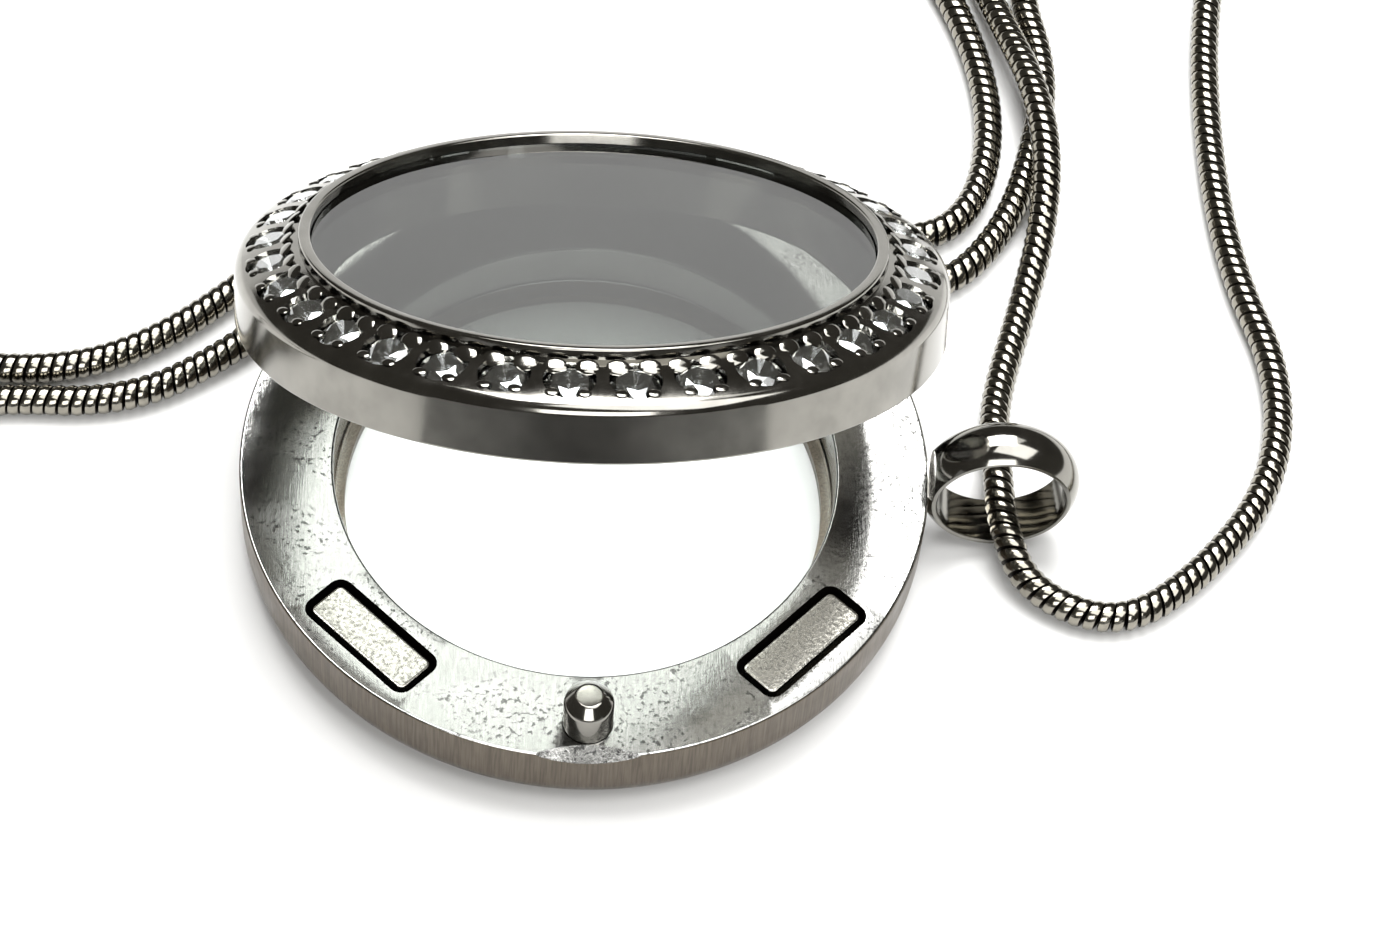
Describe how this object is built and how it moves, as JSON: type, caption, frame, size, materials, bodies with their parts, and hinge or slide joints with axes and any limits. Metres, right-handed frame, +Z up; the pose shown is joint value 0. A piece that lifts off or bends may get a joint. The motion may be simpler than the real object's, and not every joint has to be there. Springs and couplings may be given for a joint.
{
  "type": "floating locket on a chain",
  "caption": "Round hinged glass locket with a stone-set lid, open on a table, with its snake chain laid round it.",
  "frame": {"origin": "centre of the case's ring-shaped back face, on the table that it lies on", "axes": "+Z up out of the case, +Y to the hinge, +X to the bail ring, along the longest extent"},
  "size_m": [0.1223, 0.0829, 0.021],
  "materials": {
    "satin_steel": "satin",
    "polished_steel": "polished",
    "nickel": "rough satin",
    "clear_glass": "polished",
    "grey_glass": "polished",
    "cut_stone": "polished"
  },
  "bodies": {
    "case": {"back_case": "satin_steel", "back_glass": "clear_glass", "case_magnet_left": "nickel", "case_magnet_right": "nickel", "locating_pin": "polished_steel", "hinge_pin": "polished_steel", "snake_chain": "polished_steel", "clasp": "polished_steel"},
    "lid": {"lid_frame": "polished_steel", "lid_glass": "grey_glass", "lid_magnet_left": "nickel", "lid_magnet_right": "nickel", "stone_01": "cut_stone", "stone_02": "cut_stone", "stone_03": "cut_stone", "stone_04": "cut_stone", "stone_05": "cut_stone", "stone_06": "cut_stone", "stone_07": "cut_stone", "stone_08": "cut_stone", "stone_09": "cut_stone", "stone_10": "cut_stone", "stone_11": "cut_stone", "stone_12": "cut_stone", "stone_13": "cut_stone", "stone_14": "cut_stone", "stone_15": "cut_stone", "stone_16": "cut_stone", "stone_17": "cut_stone", "stone_18": "cut_stone", "stone_19": "cut_stone", "stone_20": "cut_stone", "stone_21": "cut_stone", "stone_22": "cut_stone", "stone_23": "cut_stone", "stone_24": "cut_stone", "stone_25": "cut_stone", "stone_26": "cut_stone", "stone_27": "cut_stone", "stone_28": "cut_stone", "stone_29": "cut_stone", "stone_30": "cut_stone", "stone_31": "cut_stone", "stone_32": "cut_stone", "stone_33": "cut_stone"}
  },
  "joints": [
    {"name": "lid_hinge", "type": "hinge", "parent": "case", "child": "lid", "pos_m": [0, 0.01535, 0.00375], "axis": [-1, 0, 0], "range_deg": [-30, 90]}
  ]
}
